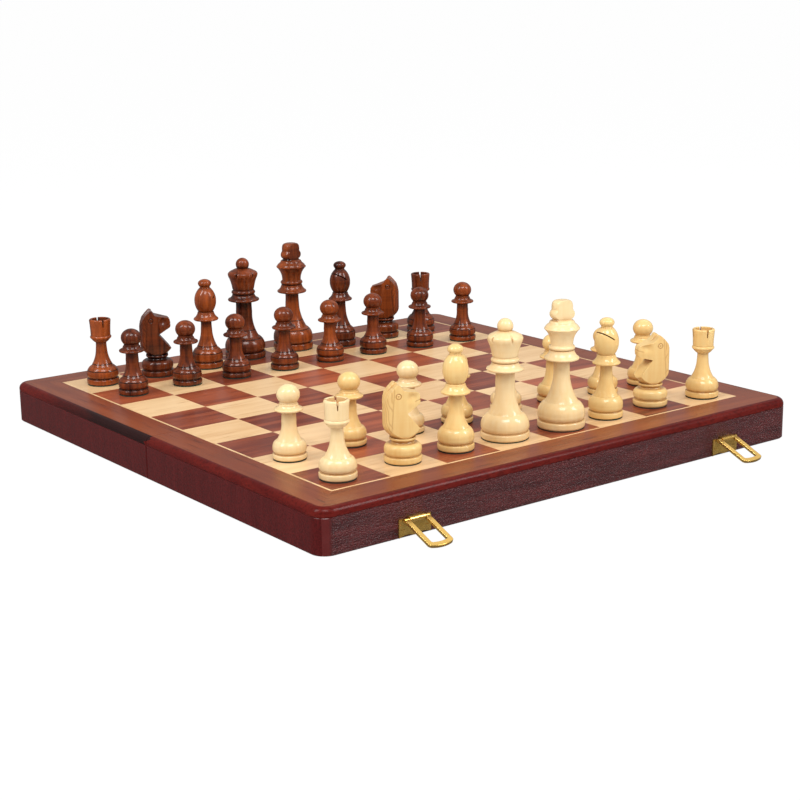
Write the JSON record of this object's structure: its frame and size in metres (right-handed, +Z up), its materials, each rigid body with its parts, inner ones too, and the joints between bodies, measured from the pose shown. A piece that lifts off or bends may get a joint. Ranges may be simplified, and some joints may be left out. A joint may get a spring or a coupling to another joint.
{
  "type": "folding chess set",
  "caption": "Folding wooden chess box opened flat as a board, hinged in two halves with brass hoop latches, and its turned and carved boxwood and rosewood-coloured men",
  "frame": {"origin": "on the fold line between the two halves, midway along it, in the plane of the rims that rest on the table", "axes": "+X along the files' order from a to h, parallel to the fold; +Y from the near (white) side to the far (black) side; +Z up from the table"},
  "size_m": [0.39, 0.4217, 0.1121],
  "materials": {
    "boxwood": "gloss lacquer",
    "rosewood": "gloss lacquer",
    "dark_veneer": "semi-gloss lacquer",
    "light_veneer": "semi-gloss lacquer",
    "box_wood": "semi-gloss lacquer",
    "felt": "matt felt",
    "brass": "polished"
  },
  "bodies": {
    "near_half": {"near_front_rail": "box_wood", "near_left_rail": "box_wood", "near_right_rail": "box_wood", "near_fold_rail": "box_wood", "near_top_panel": "box_wood", "near_dark_squares": "dark_veneer", "near_light_squares": "light_veneer", "near_border_veneer": "dark_veneer", "near_felt_lining": "felt", "near_hinge_leaves": "brass", "hinge_pins": "brass", "latch_plates": "brass", "near_screws": "brass"},
    "far_half": {"far_back_rail": "box_wood", "far_left_rail": "box_wood", "far_right_rail": "box_wood", "far_fold_rail": "box_wood", "far_top_panel": "box_wood", "far_dark_squares": "dark_veneer", "far_light_squares": "light_veneer", "far_border_veneer": "dark_veneer", "far_felt_lining": "felt", "far_hinge_leaves": "brass", "latch_catches": "brass", "far_screws": "brass"},
    "hoop_left": {"latch_hoop_left": "brass"},
    "hoop_right": {"latch_hoop_right": "brass"},
    "a1_man": {"white_rook_a1": "boxwood"},
    "b1_man": {"white_knight_b1": "boxwood"},
    "c1_man": {"white_bishop_c1": "boxwood"},
    "d1_man": {"white_queen_d1": "boxwood"},
    "e1_man": {"white_king_e1": "boxwood"},
    "f1_man": {"white_bishop_f1": "boxwood"},
    "g1_man": {"white_knight_g1": "boxwood"},
    "h1_man": {"white_rook_h1": "boxwood"},
    "a2_man": {"white_pawn_a2": "boxwood"},
    "b2_man": {"white_pawn_b2": "boxwood"},
    "c2_man": {"white_pawn_c2": "boxwood"},
    "d2_man": {"white_pawn_d2": "boxwood"},
    "e2_man": {"white_pawn_e2": "boxwood"},
    "f2_man": {"white_pawn_f2": "boxwood"},
    "g2_man": {"white_pawn_g2": "boxwood"},
    "h2_man": {"white_pawn_h2": "boxwood"},
    "a7_man": {"black_pawn_a7": "rosewood"},
    "b7_man": {"black_pawn_b7": "rosewood"},
    "c7_man": {"black_pawn_c7": "rosewood"},
    "d7_man": {"black_pawn_d7": "rosewood"},
    "e7_man": {"black_pawn_e7": "rosewood"},
    "f7_man": {"black_pawn_f7": "rosewood"},
    "g7_man": {"black_pawn_g7": "rosewood"},
    "h7_man": {"black_pawn_h7": "rosewood"},
    "a8_man": {"black_rook_a8": "rosewood"},
    "b8_man": {"black_knight_b8": "rosewood"},
    "c8_man": {"black_bishop_c8": "rosewood"},
    "d8_man": {"black_queen_d8": "rosewood"},
    "e8_man": {"black_king_e8": "rosewood"},
    "f8_man": {"black_bishop_f8": "rosewood"},
    "g8_man": {"black_knight_g8": "rosewood"},
    "h8_man": {"black_rook_h8": "rosewood"}
  },
  "joints": [
    {"name": "fold", "type": "hinge", "parent": "near_half", "child": "far_half", "pos_m": [0, 0, -0.00005], "axis": [-1, 0, 0], "range_deg": [0, 180]},
    {"name": "hoop_left_swing", "type": "hinge", "parent": "near_half", "child": "hoop_left", "pos_m": [-0.13, -0.1973, 0.0109], "axis": [-1, 0, 0], "range_deg": [-68, 112]},
    {"name": "hoop_right_swing", "type": "hinge", "parent": "near_half", "child": "hoop_right", "pos_m": [0.13, -0.1973, 0.0109], "axis": [-1, 0, 0], "range_deg": [-68, 112]},
    {"name": "lift_a1", "type": "slide", "parent": "near_half", "child": "a1_man", "axis": [0, 0, 1], "range_m": [0, 0.06]},
    {"name": "lift_b1", "type": "slide", "parent": "near_half", "child": "b1_man", "axis": [0, 0, 1], "range_m": [0, 0.06]},
    {"name": "lift_c1", "type": "slide", "parent": "near_half", "child": "c1_man", "axis": [0, 0, 1], "range_m": [0, 0.08]},
    {"name": "lift_d1", "type": "slide", "parent": "near_half", "child": "d1_man", "axis": [0, 0, 1], "range_m": [0, 0.09]},
    {"name": "lift_e1", "type": "slide", "parent": "near_half", "child": "e1_man", "axis": [0, 0, 1], "range_m": [0, 0.095]},
    {"name": "lift_f1", "type": "slide", "parent": "near_half", "child": "f1_man", "axis": [0, 0, 1], "range_m": [0, 0.08]},
    {"name": "lift_g1", "type": "slide", "parent": "near_half", "child": "g1_man", "axis": [0, 0, 1], "range_m": [0, 0.06]},
    {"name": "lift_h1", "type": "slide", "parent": "near_half", "child": "h1_man", "axis": [0, 0, 1], "range_m": [0, 0.06]},
    {"name": "lift_a2", "type": "slide", "parent": "near_half", "child": "a2_man", "axis": [0, 0, 1], "range_m": [0, 0.06]},
    {"name": "lift_b2", "type": "slide", "parent": "near_half", "child": "b2_man", "axis": [0, 0, 1], "range_m": [0, 0.06]},
    {"name": "lift_c2", "type": "slide", "parent": "near_half", "child": "c2_man", "axis": [0, 0, 1], "range_m": [0, 0.06]},
    {"name": "lift_d2", "type": "slide", "parent": "near_half", "child": "d2_man", "axis": [0, 0, 1], "range_m": [0, 0.06]},
    {"name": "lift_e2", "type": "slide", "parent": "near_half", "child": "e2_man", "axis": [0, 0, 1], "range_m": [0, 0.06]},
    {"name": "lift_f2", "type": "slide", "parent": "near_half", "child": "f2_man", "axis": [0, 0, 1], "range_m": [0, 0.06]},
    {"name": "lift_g2", "type": "slide", "parent": "near_half", "child": "g2_man", "axis": [0, 0, 1], "range_m": [0, 0.06]},
    {"name": "lift_h2", "type": "slide", "parent": "near_half", "child": "h2_man", "axis": [0, 0, 1], "range_m": [0, 0.06]},
    {"name": "lift_a7", "type": "slide", "parent": "far_half", "child": "a7_man", "axis": [0, 0, 1], "range_m": [0, 0.06]},
    {"name": "lift_b7", "type": "slide", "parent": "far_half", "child": "b7_man", "axis": [0, 0, 1], "range_m": [0, 0.06]},
    {"name": "lift_c7", "type": "slide", "parent": "far_half", "child": "c7_man", "axis": [0, 0, 1], "range_m": [0, 0.06]},
    {"name": "lift_d7", "type": "slide", "parent": "far_half", "child": "d7_man", "axis": [0, 0, 1], "range_m": [0, 0.06]},
    {"name": "lift_e7", "type": "slide", "parent": "far_half", "child": "e7_man", "axis": [0, 0, 1], "range_m": [0, 0.06]},
    {"name": "lift_f7", "type": "slide", "parent": "far_half", "child": "f7_man", "axis": [0, 0, 1], "range_m": [0, 0.06]},
    {"name": "lift_g7", "type": "slide", "parent": "far_half", "child": "g7_man", "axis": [0, 0, 1], "range_m": [0, 0.06]},
    {"name": "lift_h7", "type": "slide", "parent": "far_half", "child": "h7_man", "axis": [0, 0, 1], "range_m": [0, 0.06]},
    {"name": "lift_a8", "type": "slide", "parent": "far_half", "child": "a8_man", "axis": [0, 0, 1], "range_m": [0, 0.06]},
    {"name": "lift_b8", "type": "slide", "parent": "far_half", "child": "b8_man", "axis": [0, 0, 1], "range_m": [0, 0.06]},
    {"name": "lift_c8", "type": "slide", "parent": "far_half", "child": "c8_man", "axis": [0, 0, 1], "range_m": [0, 0.08]},
    {"name": "lift_d8", "type": "slide", "parent": "far_half", "child": "d8_man", "axis": [0, 0, 1], "range_m": [0, 0.09]},
    {"name": "lift_e8", "type": "slide", "parent": "far_half", "child": "e8_man", "axis": [0, 0, 1], "range_m": [0, 0.095]},
    {"name": "lift_f8", "type": "slide", "parent": "far_half", "child": "f8_man", "axis": [0, 0, 1], "range_m": [0, 0.08]},
    {"name": "lift_g8", "type": "slide", "parent": "far_half", "child": "g8_man", "axis": [0, 0, 1], "range_m": [0, 0.06]},
    {"name": "lift_h8", "type": "slide", "parent": "far_half", "child": "h8_man", "axis": [0, 0, 1], "range_m": [0, 0.06]}
  ]
}
